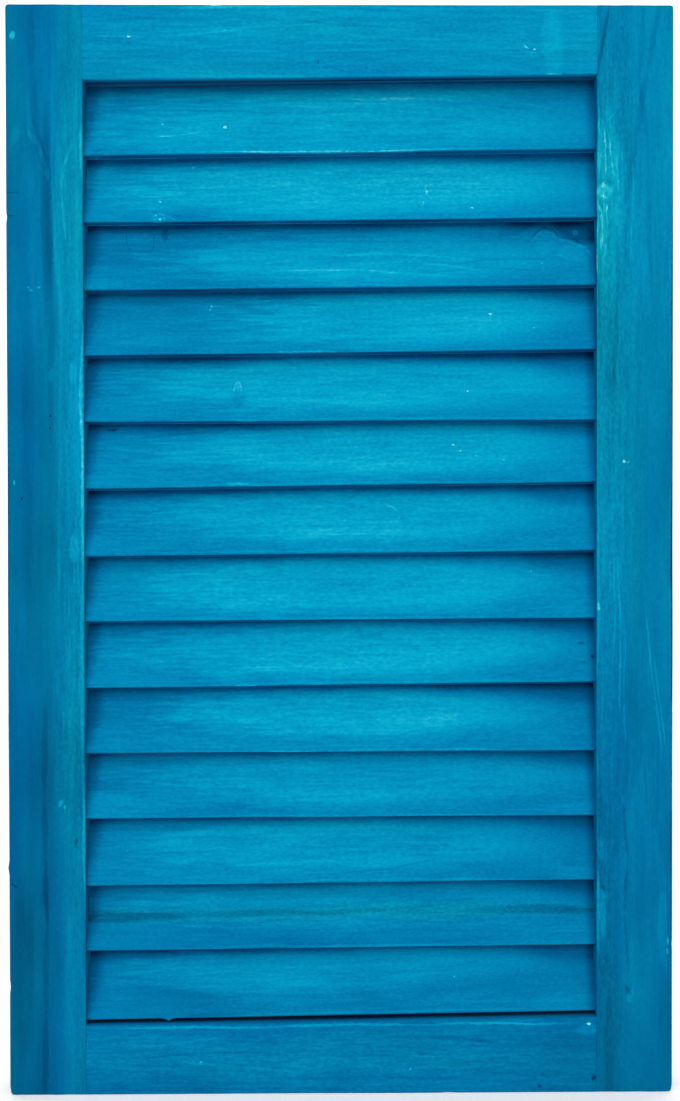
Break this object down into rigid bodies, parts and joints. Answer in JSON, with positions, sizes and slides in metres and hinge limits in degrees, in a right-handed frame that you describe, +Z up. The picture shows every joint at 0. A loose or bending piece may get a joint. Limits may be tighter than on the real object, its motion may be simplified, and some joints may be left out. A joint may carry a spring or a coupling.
{
  "type": "louvred shutter leaf",
  "caption": "Small louvred window shutter leaf: a pine frame with fixed sloping louvres that shed rain and let air through.",
  "frame": {"origin": "under the middle of the leaf's bottom edge, half way through its thickness", "axes": "+Z up the leaf, -Y out of the front face that the louvres' lower edges lean towards, +X to the right seen from the front"},
  "size_m": [0.366, 0.027, 0.6],
  "materials": {
    "stained_frame": "pine with a thin satin blue stain, worn pale along its arrises",
    "stained_louvre": "sawn and planed pine with a thin satin blue stain, paler in the middle of each louvre",
    "beech_dowel": "bare turned beech"
  },
  "bodies": {
    "root": {"stile_left": "stained_frame", "stile_right": "stained_frame", "top_rail": "stained_frame", "bottom_rail": "stained_frame", "louvre_01": "stained_louvre", "louvre_02": "stained_louvre", "louvre_03": "stained_louvre", "louvre_04": "stained_louvre", "louvre_05": "stained_louvre", "louvre_06": "stained_louvre", "louvre_07": "stained_louvre", "louvre_08": "stained_louvre", "louvre_09": "stained_louvre", "louvre_10": "stained_louvre", "louvre_11": "stained_louvre", "louvre_12": "stained_louvre", "louvre_13": "stained_louvre", "louvre_14": "stained_louvre", "dowel_top_left_outer": "beech_dowel", "dowel_top_left_inner": "beech_dowel", "dowel_top_right_outer": "beech_dowel", "dowel_top_right_inner": "beech_dowel", "dowel_bottom_left_outer": "beech_dowel", "dowel_bottom_left_inner": "beech_dowel", "dowel_bottom_right_outer": "beech_dowel", "dowel_bottom_right_inner": "beech_dowel"}
  },
  "joints": []
}
